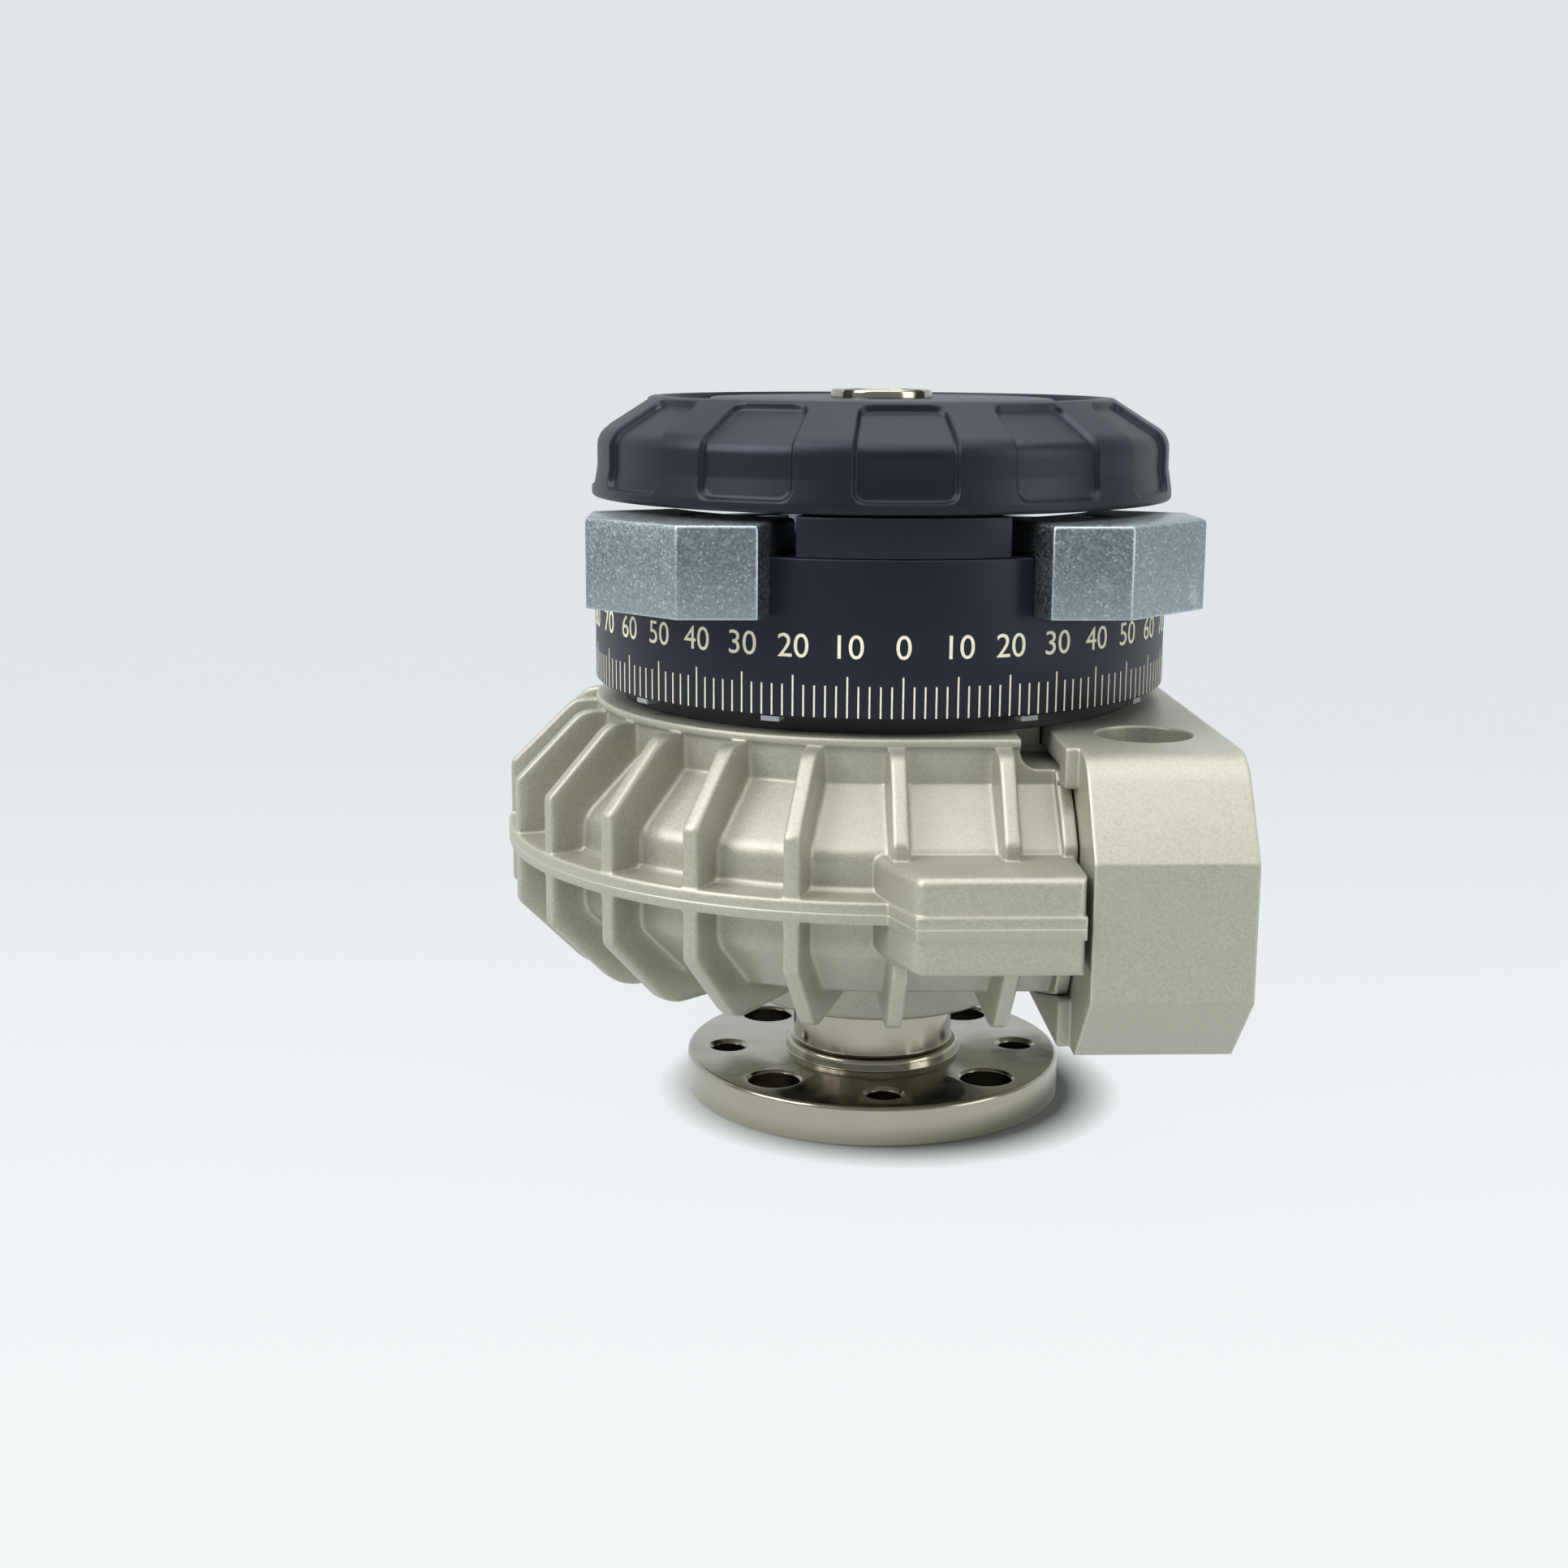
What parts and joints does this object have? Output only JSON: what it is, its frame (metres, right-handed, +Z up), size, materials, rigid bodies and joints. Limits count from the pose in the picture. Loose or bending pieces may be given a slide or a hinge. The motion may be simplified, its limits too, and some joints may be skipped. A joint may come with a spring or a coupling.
{
  "type": "pneumatic rotary vane actuator",
  "caption": "Ribbed die-cast rotary vane drive with flanged hollow output shaft, side port block, degree ring, sliding end stops and a turning cap.",
  "frame": {"origin": "centre of the output flange's underside, on the shaft axis", "axes": "+Z up along the shaft, -Y towards the zero of the degree ring, +X towards the port block"},
  "size_m": [0.1171, 0.1486, 0.1271],
  "materials": {
    "housing_paint": "warm grey metallic paint on die-cast aluminium",
    "seal_rubber": "matte moulded rubber",
    "screw_steel": "zinc plated screws",
    "hard_steel": "ground hardened steel",
    "bare_aluminium": "turned aluminium",
    "cage_brass": "pressed brass",
    "black_anodised": "black anodised, satin",
    "navy_anodised": "dark navy anodised, satin",
    "pad_plastic": "light grey plastic",
    "zinc_steel": "blue-white zinc plating, speckled",
    "nickel_steel": "polished nickel plating",
    "cap_plastic": "dark navy moulded plastic, fine texture"
  },
  "bodies": {
    "housing": {"upper_housing": "housing_paint", "lower_housing": "housing_paint", "housing_seal": "seal_rubber", "housing_screws": "screw_steel", "dowel_pins": "hard_steel", "port_block": "housing_paint", "port_block_seals": "seal_rubber", "port_block_screws": "screw_steel", "chamber_divider": "bare_aluminium", "divider_seal": "seal_rubber", "lower_bearing_outer_ring": "hard_steel", "upper_bearing_outer_ring": "hard_steel", "lower_shaft_seal": "seal_rubber", "upper_shaft_seal": "seal_rubber", "lower_circlip": "screw_steel", "stop_carrier": "black_anodised", "carrier_screws": "screw_steel", "scale_ring": "navy_anodised", "ring_screws": "screw_steel", "ring_pads": "pad_plastic", "front_segment": "navy_anodised", "segment_screws": "screw_steel"},
    "rotor": {"flange_shaft": "nickel_steel", "vane": "bare_aluminium", "vane_seals": "seal_rubber", "hub_seals": "seal_rubber", "vane_key": "hard_steel", "lower_bearing_inner_ring": "hard_steel", "upper_bearing_inner_ring": "hard_steel", "stop_lever": "zinc_steel", "lever_key": "hard_steel", "cushion_pads": "seal_rubber", "cap": "cap_plastic", "cap_nut": "nickel_steel"},
    "lower_ball_set": {"lower_bearing_balls": "hard_steel", "lower_bearing_cage": "cage_brass"},
    "upper_ball_set": {"upper_bearing_balls": "hard_steel", "upper_bearing_cage": "cage_brass"},
    "right_stop": {"right_stop_block": "zinc_steel", "right_clamp_plate": "zinc_steel", "right_clamp_screw": "screw_steel"},
    "left_stop": {"left_stop_block": "zinc_steel", "left_clamp_plate": "zinc_steel", "left_clamp_screw": "screw_steel"}
  },
  "joints": [
    {"name": "swing", "type": "hinge", "parent": "housing", "child": "rotor", "pos_m": [0, 0, 0], "axis": [0, 0, 1], "range_deg": [-90, 90]},
    {"name": "lower_cage_turn", "type": "hinge", "parent": "housing", "child": "lower_ball_set", "pos_m": [0, 0, 0.0285], "axis": [0, 0, 1], "range_deg": [-45, 45]},
    {"name": "upper_cage_turn", "type": "hinge", "parent": "housing", "child": "upper_ball_set", "pos_m": [0, 0, 0.0667], "axis": [0, 0, 1], "range_deg": [-45, 45]},
    {"name": "right_stop_slide", "type": "hinge", "parent": "housing", "child": "right_stop", "pos_m": [0, 0, 0.1], "axis": [0, 0, 1], "range_deg": [-4.5, 0]},
    {"name": "left_stop_slide", "type": "hinge", "parent": "housing", "child": "left_stop", "pos_m": [0, 0, 0.1], "axis": [0, 0, 1], "range_deg": [0, 4.5]}
  ],
  "couplings": [
    {"joint": "lower_cage_turn", "follows": "swing", "ratio": 0.4435},
    {"joint": "upper_cage_turn", "follows": "swing", "ratio": 0.4385}
  ]
}
